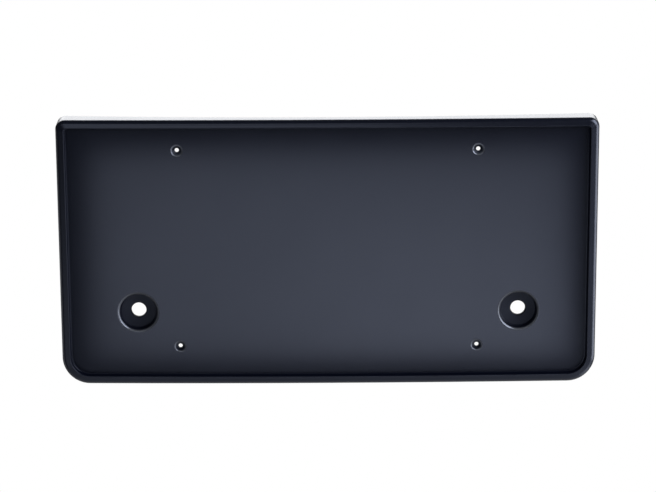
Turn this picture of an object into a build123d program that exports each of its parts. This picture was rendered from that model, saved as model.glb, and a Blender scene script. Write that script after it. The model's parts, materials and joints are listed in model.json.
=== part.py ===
from build123d import *
import math
import os

# Front number plate holder: a shallow bowed tray, moulded in one piece. X runs along
# the bumper, Z is up and the front faces -Y. The origin is midway between the two
# bumper screws, on the plane of the pads that bear on the bumper. Sizes are in mm.

# The plate, 12 x 6 in, with its screw holes
PLATE_WIDTH = 304.8
PLATE_HEIGHT = 152.4
PLATE_SCREW_FROM_SIDE = 63.5
PLATE_SCREW_FROM_EDGE = 15.875

# Tray that the plate lies in
PLATE_SIDE_CLEARANCE = 2.8
PLATE_EDGE_CLEARANCE = 0.2
RECESS_DEPTH = 3.5
RECESS_DRAFT = 5.0
RECESS_TOP_CORNER_RADIUS = 1.8
RECESS_ROOT_ROUND = 0.8
FLOOR_THICKNESS = 2.5

# Rim round the tray
RIM_WIDTH = 4.8
RIM_OUTER_ROUND = 2.3
RIM_INNER_ROUND = 0.7
TOP_CORNER_RADIUS = 5.5
BOTTOM_CORNER_RADIUS = 16.5

# Section along the bumper: a bowed front, and a skirt cut to the rounder bumper
FRONT_BOW_RADIUS = 5000.0
BUMPER_RADIUS = 1650.0
SKIRT_BEHIND_FLOOR = 2.5
SKIRT_THICKNESS = 2.5
SKIRT_DRAFT = 1.0

# Two cups, each with a dished seat for a bumper screw and its washer
BUMPER_SCREW_FROM_SIDE = 46.25
BUMPER_SCREW_ABOVE_BOTTOM = 44.2
BUMPER_HOLE_DIAMETER = 8.9
BUMPER_HOLE_CHAMFER = 0.5
SEAT_THICKNESS = 2.5
SEAT_DISH = 10.0
CUP_BORE = 21.8
CUP_WALL = 2.4
CUP_DRAFT = 1.0
CUP_MOUTH_ROUND = 1.2
CUP_ROOT_CHAMFER = 0.6

# Four pilot holes for the plate screws
PILOTS_ABOVE_MIDDLE = 2.0
PILOT_DIAMETER = 2.5
PILOT_MOUTH_ROUND = 2.0

# Stiffening ribs on the back, which follow the bumper and stay clear of it
RIB_THICKNESS = 1.8
RIB_HEIGHT_ON_CENTRE_LINE = 1.2

# How far the cutting tools run past what they cut
OVERRUN = 10.0


def bow(radius, x):
    """How far an arc of this radius has fallen back at x from its middle."""
    return radius - math.sqrt(radius**2 - x**2)


# Outline of the whole moulding
WIDTH = PLATE_WIDTH + 2 * (PLATE_SIDE_CLEARANCE + RIM_WIDTH)
HEIGHT = PLATE_HEIGHT + 2 * (PLATE_EDGE_CLEARANCE + RIM_WIDTH)
MIDDLE_Z = HEIGHT / 2 - BUMPER_SCREW_ABOVE_BOTTOM

# Places of the screws, seen from the front
BUMPER_SCREW_X = WIDTH / 2 - BUMPER_SCREW_FROM_SIDE
PILOT_X = PLATE_WIDTH / 2 - PLATE_SCREW_FROM_SIDE
PILOT_RISE = PLATE_HEIGHT / 2 - PLATE_SCREW_FROM_EDGE
PILOT_MIDDLE_Z = MIDDLE_Z + PILOTS_ABOVE_MIDDLE
BUMPER_SCREWS = [Pos(side * BUMPER_SCREW_X, 0, 0) for side in (-1, 1)]
PILOTS = [
    Pos(side * PILOT_X, 0, PILOT_MIDDLE_Z + row * PILOT_RISE)
    for side in (-1, 1)
    for row in (-1, 1)
]

# Y of each bowed surface on the centre line, from the bumper forward
REAR_Y = -bow(BUMPER_RADIUS, BUMPER_SCREW_X)
BACK_Y = REAR_Y - SKIRT_BEHIND_FLOOR
FLOOR_Y = BACK_Y - FLOOR_THICKNESS
RIM_Y = FLOOR_Y - RECESS_DEPTH

# Radii of the floor's two faces, which are bowed about the same axis as the rim
FLOOR_BOW_RADIUS = FRONT_BOW_RADIUS - RECESS_DEPTH
BACK_BOW_RADIUS = FLOOR_BOW_RADIUS - FLOOR_THICKNESS

# The range of Y that holds the whole moulding, with room for the cutting tools
FOREMOST_Y = RIM_Y - OVERRUN
REARMOST_Y = REAR_Y + bow(BUMPER_RADIUS, WIDTH / 2) + OVERRUN


def behind(y, radius):
    """All that lies behind a bowed surface, whose foremost line is at y."""
    side_x = WIDTH / 2 + OVERRUN
    rear_y = REARMOST_Y + OVERRUN
    spread = math.degrees(math.asin(side_x / radius))
    front = CenterArc((0, y + radius), radius, 270 - spread, 2 * spread)
    sides = Polyline(front @ 1, (side_x, rear_y), (-side_x, rear_y), front @ 0)
    return Pos(0, 0, MIDDLE_Z - HEIGHT) * extrude(make_face([front, sides]), 2 * HEIGHT)


def faces_bowed_by(solid, radius):
    """The faces of a solid that lie on a bowed surface of this radius."""
    round_faces = solid.faces().filter_by(GeomType.CYLINDER)
    return [face for face in round_faces if math.isclose(face.radius, radius, abs_tol=0.01)]


def prism(inset, top_radius, bottom_radius, rear_y):
    """The outline, inset all round, drawn forward from rear_y."""
    face = Rectangle(WIDTH - 2 * inset, HEIGHT - 2 * inset)
    face = fillet(face.vertices().group_by(Axis.Y)[0], bottom_radius)
    face = fillet(face.vertices().group_by(Axis.Y)[-1], top_radius)
    return extrude(Plane.XZ.offset(-rear_y) * Pos(0, MIDDLE_Z) * face, rear_y - FOREMOST_Y)


def drafted(block, neutral_y, angle):
    """A prism with drafted walls, which keep their place at neutral_y.

    A positive angle widens it towards the rear.
    """
    walls = [wall for wall in block.faces() if abs(wall.normal_at().Y) < 0.5]
    return draft(walls, Plane.XZ.offset(-neutral_y), angle)


def shell():
    """The outer form: a straight skirt and a bowed front with its rounded outer edge."""
    block = prism(0, TOP_CORNER_RADIUS, BOTTOM_CORNER_RADIUS, REARMOST_Y)
    block = block & behind(RIM_Y, FRONT_BOW_RADIUS)
    return fillet(faces_bowed_by(block, FRONT_BOW_RADIUS)[0].edges(), RIM_OUTER_ROUND)


def recess():
    """The space in front of the floor, inside the rim."""
    top_radius = RECESS_TOP_CORNER_RADIUS
    bottom_radius = BOTTOM_CORNER_RADIUS - RIM_WIDTH
    rear_y = BACK_Y + bow(BACK_BOW_RADIUS, WIDTH / 2)
    space = drafted(prism(RIM_WIDTH, top_radius, bottom_radius, rear_y), RIM_Y, -RECESS_DRAFT)
    space = space - behind(FLOOR_Y, FLOOR_BOW_RADIUS)
    return fillet(faces_bowed_by(space, FLOOR_BOW_RADIUS)[0].edges(), RECESS_ROOT_ROUND)


def ribs():
    """Two rows along the bumper and a column through each cup.

    The lower row is level with the bumper screws, and the upper one is as far above
    the middle of the pilot holes. Their rear edges run beside the bumper.
    """
    depth = REARMOST_Y - FOREMOST_Y
    middle_y = (REARMOST_Y + FOREMOST_Y) / 2
    row = Box(WIDTH, depth, RIB_THICKNESS)
    column = Box(RIB_THICKNESS, depth, HEIGHT)
    grid = [Pos(0, middle_y, z) * row for z in (0, 2 * PILOT_MIDDLE_Z)]
    grid += [screw * Pos(0, middle_y, MIDDLE_Z) * column for screw in BUMPER_SCREWS]
    clear_of_bumper = SKIRT_BEHIND_FLOOR - RIB_HEIGHT_ON_CENTRE_LINE
    return Part() + grid - behind(REAR_Y - clear_of_bumper, BUMPER_RADIUS + clear_of_bumper)


def cup():
    """The outside of a cup, from within the floor to its flat pad on the bumper."""
    root_y = FLOOR_Y + bow(FLOOR_BOW_RADIUS, BUMPER_SCREW_X) + FLOOR_THICKNESS / 2
    pad_radius = CUP_BORE / 2 + CUP_WALL
    root_radius = pad_radius - root_y * math.tan(math.radians(CUP_DRAFT))
    profile = Polyline((0, 0), (pad_radius, 0), (root_radius, root_y), (0, root_y), close=True)
    return revolve(make_face(profile), Axis.Y)


def cup_bore():
    """The space in a cup: screw hole, dished seat and a bore that opens to the front."""
    hole_radius = BUMPER_HOLE_DIAMETER / 2
    seat_y = -SEAT_THICKNESS
    bore_radius = CUP_BORE / 2
    bore_y = seat_y - (bore_radius - hole_radius) * math.tan(math.radians(SEAT_DISH))
    mouth_radius = bore_radius + (bore_y - FOREMOST_Y) * math.tan(math.radians(CUP_DRAFT))
    profile = Polyline(
        (0, OVERRUN),
        (hole_radius, OVERRUN),
        (hole_radius, seat_y),
        (bore_radius, bore_y),
        (mouth_radius, FOREMOST_Y),
        (0, FOREMOST_Y),
        close=True,
    )
    face = make_face(profile)
    face = chamfer(face.vertices().sort_by_distance((hole_radius, seat_y))[0], BUMPER_HOLE_CHAMFER)
    face = chamfer(face.vertices().sort_by_distance((bore_radius, bore_y))[0], CUP_ROOT_CHAMFER)
    return revolve(face, Axis.Y)


def pilot_hole():
    """The space of a pilot hole, through the floor."""
    return Rot(X=90) * Cylinder(PILOT_DIAMETER / 2, 2 * (REARMOST_Y - FOREMOST_Y))


def space_behind():
    """All that is open behind the moulding: the ribbed hollow, and the bumper itself."""
    top_radius = TOP_CORNER_RADIUS - SKIRT_THICKNESS
    bottom_radius = BOTTOM_CORNER_RADIUS - SKIRT_THICKNESS
    hollow = prism(SKIRT_THICKNESS, top_radius, bottom_radius, REARMOST_Y)
    hollow = drafted(hollow, BACK_Y, SKIRT_DRAFT) & behind(BACK_Y, BACK_BOW_RADIUS)
    cups = [screw * cup() for screw in BUMPER_SCREWS]
    return hollow - ribs() + behind(REAR_Y, BUMPER_RADIUS) - cups


def hole_mouths(body):
    """The outlines of the holes in the tray's floor, from the smallest to the largest."""
    return ShapeList(faces_bowed_by(body, FLOOR_BOW_RADIUS)[0].inner_wires()).sort_by(SortBy.LENGTH)


def plate_holder():
    """The whole moulding."""
    body = shell() - recess() - space_behind()
    body = body - [screw * cup_bore() for screw in BUMPER_SCREWS]
    body = body - [screw * pilot_hole() for screw in PILOTS]
    rim = faces_bowed_by(body, FRONT_BOW_RADIUS)[0]
    body = fillet(rim.inner_wires().edges(), RIM_INNER_ROUND)
    cup_mouths = hole_mouths(body)[len(PILOTS) :]
    body = fillet(cup_mouths.edges(), CUP_MOUTH_ROUND)
    pilot_mouths = hole_mouths(body)[: len(PILOTS)]
    return fillet(pilot_mouths.edges(), PILOT_MOUTH_ROUND)


os.makedirs("parts", exist_ok=True)
export_step(plate_holder(), "parts/plate_holder.step")
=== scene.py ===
import json
import logging
import math
from dataclasses import dataclass
from enum import Enum
from functools import reduce

import bpy
import numpy as np
from mathutils import Matrix, Vector


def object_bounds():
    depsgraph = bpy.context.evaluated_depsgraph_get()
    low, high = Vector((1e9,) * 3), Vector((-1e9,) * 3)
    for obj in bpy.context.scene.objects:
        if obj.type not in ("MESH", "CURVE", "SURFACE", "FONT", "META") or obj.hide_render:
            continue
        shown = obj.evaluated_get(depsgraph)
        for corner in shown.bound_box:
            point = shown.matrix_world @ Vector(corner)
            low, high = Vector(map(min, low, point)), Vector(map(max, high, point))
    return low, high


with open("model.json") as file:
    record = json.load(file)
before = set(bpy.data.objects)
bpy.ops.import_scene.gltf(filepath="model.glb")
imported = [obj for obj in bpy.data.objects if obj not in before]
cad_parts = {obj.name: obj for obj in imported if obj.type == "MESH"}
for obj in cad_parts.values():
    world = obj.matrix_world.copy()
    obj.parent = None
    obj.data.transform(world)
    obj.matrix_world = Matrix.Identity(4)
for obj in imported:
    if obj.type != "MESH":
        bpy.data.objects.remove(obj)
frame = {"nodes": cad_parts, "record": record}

CAD_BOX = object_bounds()
LOG = logging.getLogger("plate_holder")

MM = 0.001
NOISE_MEAN = 0.5

Colour = tuple[float, float, float]
Place = tuple[float, float, float]


class Sum(Enum):
    """What a maths node works out."""

    ADD = "ADD"
    SUBTRACT = "SUBTRACT"
    MULTIPLY = "MULTIPLY"
    DIVIDE = "DIVIDE"
    POWER_OF_E = "EXPONENT"
    SIZE = "ABSOLUTE"
    SIGN = "SIGN"
    SMALLER = "MINIMUM"
    LARGER = "MAXIMUM"
    BELOW = "LESS_THAN"
    ABOVE = "GREATER_THAN"
    SCALE = "SCALE"
    UNIT = "NORMALIZE"
    DOT = "DOT_PRODUCT"
    LENGTH = "LENGTH"


@dataclass(frozen=True)
class Wire:
    """A node's output, which varies over the surface and feeds other nodes."""

    sheet: "NodeSheet"
    socket: bpy.types.NodeSocket


class Number(Wire):
    """A wire that carries a number, with the sums that maths nodes do on it."""

    def __add__(self, other: "Number | float") -> "Number":
        """This plus another."""
        return self.sheet.number(Sum.ADD, self, other)

    def __sub__(self, other: "Number | float") -> "Number":
        """This less another."""
        return self.sheet.number(Sum.SUBTRACT, self, other)

    def __rsub__(self, other: float) -> "Number":
        """A plain number less this."""
        return self.sheet.number(Sum.SUBTRACT, other, self)

    def __mul__(self, other: "Number | float") -> "Number":
        """This times another."""
        return self.sheet.number(Sum.MULTIPLY, self, other)

    def __truediv__(self, other: "Number | float") -> "Number":
        """This over another."""
        return self.sheet.number(Sum.DIVIDE, self, other)

    def __abs__(self) -> "Number":
        """This without its sign."""
        return self.sheet.number(Sum.SIZE, self)

    def sign(self) -> "Number":
        """Minus one, nought or one."""
        return self.sheet.number(Sum.SIGN, self)

    def power_of_e(self) -> "Number":
        """The number e to this power."""
        return self.sheet.number(Sum.POWER_OF_E, self)

    def at_least(self, other: "Number | float") -> "Number":
        """The larger of this and another."""
        return self.sheet.number(Sum.LARGER, self, other)

    def at_most(self, other: "Number | float") -> "Number":
        """The smaller of this and another."""
        return self.sheet.number(Sum.SMALLER, self, other)

    def above(self, other: "Number | float") -> "Number":
        """One where this is larger than another, nought elsewhere."""
        return self.sheet.number(Sum.ABOVE, self, other)

    def below(self, other: "Number | float") -> "Number":
        """One where this is smaller than another, nought elsewhere."""
        return self.sheet.number(Sum.BELOW, self, other)


class Arrow(Wire):
    """A wire that carries a vector, with the sums that vector nodes do on it."""

    def __add__(self, other: "Arrow") -> "Arrow":
        """This plus another."""
        return Arrow(self.sheet, self.sheet.vector_node(Sum.ADD, self, other).outputs["Vector"])

    def __sub__(self, other: "Arrow") -> "Arrow":
        """This less another."""
        return Arrow(self.sheet, self.sheet.vector_node(Sum.SUBTRACT, self, other).outputs["Vector"])

    def __mul__(self, factor: Number) -> "Arrow":
        """Lengthen or shorten the vector.

        Args:
            factor: How many times as long it becomes.

        Returns:
            The new vector.
        """
        node = self.sheet.vector_node(Sum.SCALE, self)
        self.sheet.put(factor, node.inputs["Scale"])
        return Arrow(self.sheet, node.outputs["Vector"])

    def unit(self) -> "Arrow":
        """The vector of length one this way."""
        return Arrow(self.sheet, self.sheet.vector_node(Sum.UNIT, self).outputs["Vector"])

    def dot(self, other: "Arrow") -> Number:
        """The dot product with another."""
        return Number(self.sheet, self.sheet.vector_node(Sum.DOT, self, other).outputs["Value"])

    def length(self) -> Number:
        """Its length."""
        return Number(self.sheet, self.sheet.vector_node(Sum.LENGTH, self).outputs["Value"])

    def parts(self) -> tuple[Number, Number, Number]:
        """Take the vector apart.

        Returns:
            Its X, Y and Z.
        """
        node = self.sheet.add("ShaderNodeSeparateXYZ")
        self.sheet.put(self, node.inputs[0])
        return tuple(Number(self.sheet, socket) for socket in node.outputs)


class NodeSheet:
    """A node tree with short calls for adding nodes and wiring them."""

    def __init__(self, tree: bpy.types.NodeTree) -> None:
        """Start from an empty tree."""
        self.tree = tree
        tree.nodes.clear()

    def add(self, kind: str, **settings: object) -> bpy.types.Node:
        """Add a node and set its properties.

        Args:
            kind: Blender's name of the node type.
            settings: Property values of the node.

        Returns:
            The new node.
        """
        node = self.tree.nodes.new(kind)
        for name, value in settings.items():
            setattr(node, name, value)
        return node

    def put(self, value: Wire | float | tuple[float, ...], socket: bpy.types.NodeSocket) -> None:
        """Wire a socket to a node's output, or set its value.

        Args:
            value: The output, or a plain value.
            socket: The input to feed.
        """
        if isinstance(value, Wire):
            self.tree.links.new(value.socket, socket)
        else:
            socket.default_value = value

    def number(self, kind: Sum, *terms: Number | float) -> Number:
        """Work out a number from one or two others.

        Args:
            kind: The sum.
            terms: Its terms.

        Returns:
            The result.
        """
        node = self.add("ShaderNodeMath", operation=kind.value)
        for term, socket in zip(terms, node.inputs):
            self.put(term, socket)
        return Number(self, node.outputs[0])

    def vector_node(self, kind: Sum, *terms: Arrow) -> bpy.types.Node:
        """Add a node that works on one or two vectors.

        Args:
            kind: The sum.
            terms: Its vectors.

        Returns:
            The node.
        """
        node = self.add("ShaderNodeVectorMath", operation=kind.value)
        for term, socket in zip(terms, node.inputs):
            self.put(term, socket)
        return node

    def join(self, x: Number | float, y: Number | float, z: Number | float) -> Arrow:
        """Put a vector together.

        Args:
            x: Its X.
            y: Its Y.
            z: Its Z.

        Returns:
            The vector.
        """
        node = self.add("ShaderNodeCombineXYZ")
        for part, socket in zip((x, y, z), node.inputs):
            self.put(part, socket)
        return Arrow(self, node.outputs[0])

    def mix(self, share: Number, first: Wire | Colour, second: Colour) -> Wire:
        """Mix two colours.

        Args:
            share: Share of the second colour.
            first: The first colour.
            second: The second colour.

        Returns:
            The mixture.
        """
        node = self.add("ShaderNodeMix", data_type="RGBA")
        self.put(share, node.inputs["Factor"])
        for colour, name in ((first, "A"), (second, "B")):
            self.put((*colour, 1.0) if isinstance(colour, tuple) else colour, node.inputs[name])
        return Wire(self, node.outputs["Result"])

    def noise(self, place: Arrow, grain: float, detail: float) -> Number:
        """Add a noise pattern.

        Args:
            place: Where the pattern is read.
            grain: Size of its grains in metres.
            detail: How many finer layers it has.

        Returns:
            Its value, about NOISE_MEAN on average.
        """
        node = self.add("ShaderNodeTexNoise")
        self.put(place, node.inputs["Vector"])
        node.inputs["Scale"].default_value = 1 / grain
        node.inputs["Detail"].default_value = detail
        return Number(self, node.outputs["Fac"])


@dataclass(frozen=True)
class Lips:
    """The mouths of one pattern of screw holes in the tray's floor, in metres."""

    pattern: str
    radius: float
    width: float

    def spread(self) -> tuple[float, float, float]:
        """Read the pattern's place in the record.

        Returns:
            Half of its width, half of its height and the level of its middle.
        """
        mounts = {mount["name"]: mount for mount in frame["record"]["mounts"]}
        mount = mounts[self.pattern]
        half_width, half_height = (
            mount["dims"].get(spacing, 0.0) * MM / 2 for spacing in ("spacing_x_mm", "spacing_y_mm")
        )
        return half_width, half_height, mount["pos_m"][2]

    def mark(self, sheet: NodeSheet, place: Arrow) -> tuple[Number, Number, Arrow]:
        """Find the lips and what lies in them.

        The ring falls from one at the radius to nought a width away from it.

        Args:
            sheet: The material's nodes.
            place: Object coordinates.

        Returns:
            A soft ring on the lips, the throats inside them, and the unit vector away from the
            nearest hole's axis.
        """
        half_width, half_height, level = self.spread()
        x, y, z = place.parts()
        axis_z = (z - level).sign() * half_height + level
        offset = place - sheet.join(x.sign() * half_width, y, axis_z)
        distance = offset.length()
        ring = (1.0 - abs(distance - self.radius) / self.width).at_least(0.0)
        throat = distance.below(self.radius - self.width)
        return ring, throat, offset.unit()


@dataclass(frozen=True)
class Crown:
    """The soft outward lean of the tray's floor near its rim, and of the rounded rim itself."""

    rim_width: float = 0.0048
    top_corner: float = 0.0018
    bottom_corner: float = 0.0117
    slope: float = 0.14
    reach: float = 0.016
    rim_slope: float = 0.34
    wall_edge: float = 12.0
    rim_share: float = 0.4

    def mark(self, sheet: NodeSheet, place: Arrow, normal: Arrow) -> tuple[Arrow, Number]:
        """Find how far the front leans, and the walls between floor and rim.

        On the floor the lean is slope * exp(-distance to the rim / reach), towards that rim. On
        the rim it is rim_slope, away from the tray, also round the corners.

        Args:
            sheet: The material's nodes.
            place: Object coordinates.
            normal: The face's own normal.

        Returns:
            The lean to add to the normal, and a mask that is one on the walls and at most
            rim_share on the rim's inner edge.
        """
        low, high = CAD_BOX
        half_width = (high.x - low.x) / 2 - self.rim_width
        half_height = (high.z - low.z) / 2 - self.rim_width
        x, _, z = place.parts()
        level = z - (high.z + low.z) / 2
        corner = level.above(0.0) * (self.top_corner - self.bottom_corner) + self.bottom_corner
        leans: list[Number] = []
        past: list[Number] = []
        for across, half in ((x, half_width), (level, half_height)):
            inside = half - abs(across)
            fall = (inside / -self.reach).power_of_e()
            leans.append(fall * self.slope * across.sign())
            past.append((corner - inside).at_least(0.0) * across.sign())
        from_corner = sheet.join(past[0], 0.0, past[1])
        on_rim = from_corner.length().above(corner)
        on_floor = 1.0 - on_rim
        floor_lean = sheet.join(leans[0], 0.0, leans[1]) * on_floor
        lean = floor_lean + from_corner.unit() * (on_rim * self.rim_slope)
        inward = normal.dot(lean) * (-self.wall_edge / self.slope)
        wall = inward.at_least(0.0).at_most(on_floor.at_least(self.rim_share))
        return lean, wall


@dataclass(frozen=True)
class SatinPlastic:
    """Black moulded plastic with a fine grain; the lips of its holes are painted paler as a highlight
    and gleam more.
    """

    colour: Colour = (0.0022, 0.0031, 0.0086)
    colour_swing: float = 0.07
    # paler colour on the lips' ring: a painted highlight standing in for their gleam
    painted_lip_highlight: Colour = (0.100, 0.108, 0.126)
    gleam_tint: Colour = (0.68, 0.76, 1.0)
    ior: float = 1.59
    roughness: float = 0.25
    throat_roughness: float = 0.62
    roughness_swing: float = 0.04
    gleam: float = 0.5
    wall_gleam: float = 0.15
    throat_gleam: float = 0.46
    lip_gleam: float = 1.0
    mottle: float = 0.03
    mottle_detail: float = 3.0
    grain: float = 0.0005
    grain_detail: float = 2.0
    grain_height: float = 0.00001
    front_from: float = 0.02
    lip_lean: float = 0.7
    crown: Crown = Crown()
    lips: tuple[Lips, ...] = (
        Lips("bumper_screws", 0.0119, 0.0009),
        Lips("plate_screws", 0.0032, 0.0006),
    )

    def tone(self, sheet: NodeSheet, cloud: Number, lip: Number) -> Wire:
        """Make the colour, mottled, and paler at the lips as a painted highlight.

        Args:
            sheet: The material's nodes.
            cloud: The mottle's noise.
            lip: The lips' ring.

        Returns:
            The colour.
        """
        darker = tuple((1 - self.colour_swing) * part for part in self.colour)
        lighter = tuple((1 + self.colour_swing) * part for part in self.colour)
        # mixes in the paler lip colour, a painted highlight, on the lips' ring
        return sheet.mix(lip, sheet.mix(cloud, darker, lighter), self.painted_lip_highlight)

    def grained(self, sheet: NodeSheet, place: Arrow, normal: Arrow) -> Wire:
        """Roughen a normal with the moulding's grain.

        Args:
            sheet: The material's nodes.
            place: Object coordinates.
            normal: The normal to roughen.

        Returns:
            The new normal.
        """
        bump = sheet.add("ShaderNodeBump")
        bump.inputs["Strength"].default_value = 1.0
        bump.inputs["Distance"].default_value = self.grain_height
        sheet.put(sheet.noise(place, self.grain, self.grain_detail), bump.inputs["Height"])
        sheet.put(normal, bump.inputs["Normal"])
        return Wire(sheet, bump.outputs[0])

    def material(self) -> bpy.types.Material:
        """Build the finish.

        The normal is tilted by the lean times how far the face looks forward.

        Returns:
            The material.
        """
        material = bpy.data.materials.new("satin_black_plastic")
        material.use_nodes = True
        sheet = NodeSheet(material.node_tree)
        place = Arrow(sheet, sheet.add("ShaderNodeTexCoord").outputs["Object"])
        normal = Arrow(sheet, sheet.add("ShaderNodeNewGeometry").outputs["Normal"])
        shader = sheet.add("ShaderNodeBsdfPrincipled")
        out = sheet.add("ShaderNodeOutputMaterial")
        sheet.tree.links.new(shader.outputs[0], out.inputs["Surface"])
        shader.inputs["IOR"].default_value = self.ior
        shader.inputs["Specular Tint"].default_value = (*self.gleam_tint, 1.0)

        facing = (normal.parts()[1] * -1.0).at_least(0.0)
        in_front = facing.above(self.front_from)
        lean, wall = self.crown.mark(sheet, place, normal)
        rings: list[Number] = []
        throats: list[Number] = []
        for lips in self.lips:
            ring, throat, outward = lips.mark(sheet, place)
            rings.append(ring * in_front)
            throats.append(throat)
            lean = lean + outward * (rings[-1] * -self.lip_lean)
        lip = reduce(Number.at_least, rings)
        throat = reduce(Number.at_least, throats)

        cloud = sheet.noise(place, self.mottle, self.mottle_detail)
        sheet.put(self.tone(sheet, cloud, lip), shader.inputs["Base Color"])
        coarser = throat * (self.throat_roughness - self.roughness)
        roughness = (cloud - NOISE_MEAN) * self.roughness_swing + self.roughness + coarser
        sheet.put(roughness, shader.inputs["Roughness"])
        gleam = wall * (self.wall_gleam - self.gleam) + self.gleam
        gleam = gleam + throat * (self.throat_gleam - self.gleam)
        gleam = gleam + lip * (self.lip_gleam - self.gleam)
        sheet.put(gleam, shader.inputs["Specular IOR Level"])
        tilted = (normal + lean * facing).unit()
        sheet.put(self.grained(sheet, place, tilted), shader.inputs["Normal"])
        return material


@dataclass
class PlateHolder:
    """The moulding itself, which CAD has made, in its finish."""

    node: str = "plate_holder"
    slot: str = "black_plastic"
    finish: SatinPlastic = SatinPlastic()

    def dress(self) -> bpy.types.Object:
        """Give the CAD node its finish.

        Returns:
            The dressed object.
        """
        piece = frame["nodes"][self.node]
        piece.data.materials.clear()
        piece.data.materials.append(self.finish.material())
        return piece


def direction(azimuth: float, elevation: float) -> Vector:
    """Point away from the holder.

    Args:
        azimuth: Degrees from straight in front towards its right.
        elevation: Degrees above the horizon.

    Returns:
        The unit vector.
    """
    turn, rise = math.radians(azimuth), math.radians(elevation)
    return Vector((math.sin(turn) * math.cos(rise), -math.cos(turn) * math.cos(rise), math.sin(rise)))


def lay_sheet(name: str, corners: np.ndarray, faces: list[tuple[int, ...]]) -> bpy.types.Object:
    """Add a piece of the studio that is made of flat faces.

    Args:
        name: Its name.
        corners: Its corners in metres, one to a row.
        faces: The corners of each face.

    Returns:
        The piece, with a material of the same name.
    """
    mesh = bpy.data.meshes.new(name)
    mesh.from_pydata(corners.tolist(), [], faces)
    material = bpy.data.materials.new(name)
    material.use_nodes = True
    mesh.materials.append(material)
    piece = bpy.data.objects.new(name, mesh)
    bpy.context.scene.collection.objects.link(piece)
    return piece


def seen_directly(sheet: NodeSheet) -> Number:
    """Tell what the camera sees from the light that falls on the holder.

    Args:
        sheet: The nodes of a material or of the world.

    Returns:
        One for what the camera sees, also in metal and through glass, and nought otherwise.
    """
    path = sheet.add("ShaderNodeLightPath")
    rays = ("Is Camera Ray", "Is Glossy Ray", "Is Transmission Ray")
    camera, glossy, through = (Number(sheet, path.outputs[name]) for name in rays)
    return camera.at_least(glossy).at_least(through)


@dataclass(frozen=True)
class Softbox:
    """A rectangular lamp that looks at the holder, in degrees and metres."""

    name: str
    azimuth: float
    elevation: float
    distance: float
    width: float
    height: float
    radiance: float

    def hang(self, target: Vector) -> bpy.types.Object:
        """Place the lamp, whose power is its radiance times pi times its area.

        Args:
            target: The point that it looks at.

        Returns:
            The lamp.
        """
        data = bpy.data.lights.new(self.name, "AREA")
        data.shape = "RECTANGLE"
        data.size = self.width
        data.size_y = self.height
        data.energy = self.radiance * math.pi * self.width * self.height
        lamp = bpy.data.objects.new(self.name, data)
        away = direction(self.azimuth, self.elevation)
        turn = (-away).to_track_quat("-Z", "Y")
        lamp.matrix_world = Matrix.LocRotScale(target + self.distance * away, turn, None)
        lamp.visible_camera = False
        bpy.context.scene.collection.objects.link(lamp)
        return lamp


@dataclass(frozen=True)
class Drape:
    """Dim cloth round the studio, with a low wall at the back, which the camera looks through."""

    half_width: float = 2.6
    front: float = -2.6
    back: float = 2.6
    bottom: float = -0.80
    top: float = 2.6
    sill: float = 0.2
    glow: float = 0.08

    def hang(self) -> bpy.types.Object:
        """Put up the cloth, as the faces of a box whose back wall ends at the sill.

        The box's corners are counted along Z, then Y, then X, and the sill's two come last.

        Returns:
            The drape.
        """
        sides = (-self.half_width, self.half_width)
        grid = np.meshgrid(sides, (self.front, self.back), (self.bottom, self.top), indexing="ij")
        box = np.stack(grid, axis=-1).reshape(-1, 3)
        sill = np.array([(side, self.back, self.sill) for side in sides])
        floor, ceiling = (0, 2, 6, 4), (1, 5, 7, 3)
        left, right = (0, 1, 3, 2), (4, 6, 7, 5)
        front, low_back = (0, 4, 5, 1), (2, 8, 9, 6)
        faces = [left, right, front, ceiling, floor, low_back]
        drape = lay_sheet("drape", np.concatenate((box, sill)), faces)
        sheet = NodeSheet(drape.data.materials[0].node_tree)
        glow = sheet.add("ShaderNodeEmission")
        glow.inputs["Strength"].default_value = self.glow
        out = sheet.add("ShaderNodeOutputMaterial")
        sheet.tree.links.new(glow.outputs[0], out.inputs["Surface"])
        drape.visible_camera = False
        return drape


@dataclass(frozen=True)
class Table:
    """Pale table top, which keeps the shadow and has a glow of its own for the camera."""

    level: float = -0.75
    half_size: float = 1.0
    colour: Colour = (0.4, 0.4, 0.4)
    glow: float = 0.15

    def lay(self) -> bpy.types.Object:
        """Make the table top.

        Returns:
            The table.
        """
        square = np.array([(-1, -1, 0), (1, -1, 0), (1, 1, 0), (-1, 1, 0)])
        corners = square * self.half_size + (0.0, 0.0, self.level)
        table = lay_sheet("table", corners, [(0, 1, 2, 3)])
        sheet = NodeSheet(table.data.materials[0].node_tree)
        paint = sheet.add("ShaderNodeBsdfDiffuse")
        paint.inputs["Color"].default_value = (*self.colour, 1.0)
        glow = sheet.add("ShaderNodeEmission")
        sheet.put(seen_directly(sheet) * self.glow, glow.inputs["Strength"])
        both = sheet.add("ShaderNodeAddShader")
        for shader, socket in zip((paint, glow), both.inputs):
            sheet.tree.links.new(shader.outputs[0], socket)
        out = sheet.add("ShaderNodeOutputMaterial")
        sheet.tree.links.new(both.outputs[0], out.inputs["Surface"])
        return table


@dataclass(frozen=True)
class Viewpoint:
    """The place of the photograph's camera, in degrees and metres, and its lens in millimetres."""

    target: Place = (0.0, -0.008926, 0.04088)
    azimuth: float = -0.02
    elevation: float = 15.44
    roll: float = -0.31
    distance: float = 1.6347
    lens: float = 150.93

    def set_camera(self) -> bpy.types.Object:
        """Stand the camera where the photograph was taken.

        Returns:
            The camera.
        """
        data = bpy.data.cameras.new("camera")
        data.lens = self.lens
        camera = bpy.data.objects.new("camera", data)
        back = direction(self.azimuth, self.elevation)
        right = (-back).cross(Vector((0.0, 0.0, 1.0))).normalized()
        turn = Matrix((right, right.cross(-back), back)).transposed().to_4x4()
        place = Matrix.Translation(Vector(self.target) + self.distance * back)
        camera.matrix_world = place @ turn @ Matrix.Rotation(math.radians(self.roll), 4, "Z")
        bpy.context.scene.collection.objects.link(camera)
        bpy.context.scene.camera = camera
        return camera


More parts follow.
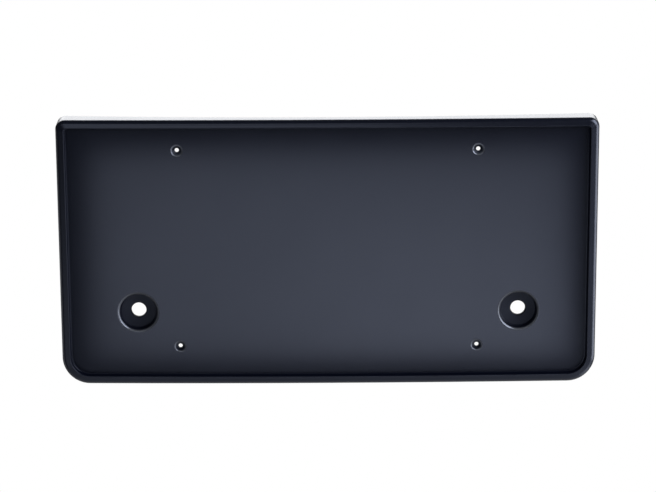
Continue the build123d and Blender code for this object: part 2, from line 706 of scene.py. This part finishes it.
@dataclass(frozen=True)
class Studio:
    """Table, white surroundings, drape, lamps and camera."""

    ambient: float = 0.05
    table: Table = Table()
    drape: Drape = Drape()
    viewpoint: Viewpoint = Viewpoint()
    lamps: tuple[Softbox, ...] = (
        Softbox("front_card", 0.9, -16.8, 1.2, 0.88, 0.48, 1.36),
        Softbox("front_fill", 12.0, -22.2, 1.15, 0.5, 0.26, 0.7),
        Softbox("upper_front", -16.8, 31.0, 1.9, 1.3, 0.7, 0.98),
        Softbox("key", 70.0, 31.0, 1.5, 1.15, 1.2, 6.0),
        Softbox("right_softbox", 86.0, -10.0, 1.5, 1.1, 0.9, 3.7),
        Softbox("right_card", 50.0, -22.0, 1.6, 0.6, 0.8, 0.45),
        Softbox("right_low", 82.0, -42.0, 0.9, 0.45, 0.4, 1.0),
        Softbox("left_card", -50.0, -25.0, 1.6, 0.7, 0.6, 0.48),
        Softbox("left_softbox", -102.0, -25.0, 1.4, 0.6, 0.7, 0.6),
        Softbox("back_softbox", 180.0, 16.0, 2.9, 3.0, 1.2, 2.2),
        Softbox("back_card", 180.0, -16.0, 2.4, 2.2, 0.8, 0.3),
        Softbox("back_left_card", -132.0, -16.0, 2.4, 1.7, 0.8, 0.3),
        Softbox("back_right_card", 132.0, -16.0, 2.4, 1.7, 0.8, 0.3),
    )

    def light_world(self) -> None:
        """Surround the scene with white for the camera and a dim even light for the rest."""
        world = bpy.data.worlds.new("surroundings")
        world.use_nodes = True
        bpy.context.scene.world = world
        sheet = NodeSheet(world.node_tree)
        backdrop = sheet.add("ShaderNodeBackground")
        backdrop.inputs["Color"].default_value = (1.0, 1.0, 1.0, 1.0)
        strength = seen_directly(sheet) * (1.0 - self.ambient) + self.ambient
        sheet.put(strength, backdrop.inputs["Strength"])
        out = sheet.add("ShaderNodeOutputWorld")
        sheet.tree.links.new(backdrop.outputs[0], out.inputs["Surface"])

    def build(self) -> None:
        """Set up everything round the holder."""
        self.table.lay()
        self.light_world()
        self.drape.hang()
        for lamp in self.lamps:
            lamp.hang(Vector(self.viewpoint.target))
        self.viewpoint.set_camera()
        bpy.context.scene.view_settings.view_transform = "Standard"


def main() -> None:
    """Dress the holder, then set up the studio round it."""
    logging.basicConfig(level=logging.INFO, format="%(message)s")
    piece = PlateHolder().dress()
    LOG.info("piece %s in %s", piece.name, piece.data.materials[0].name)
    Studio().build()


if __name__ == "__main__":
    main()
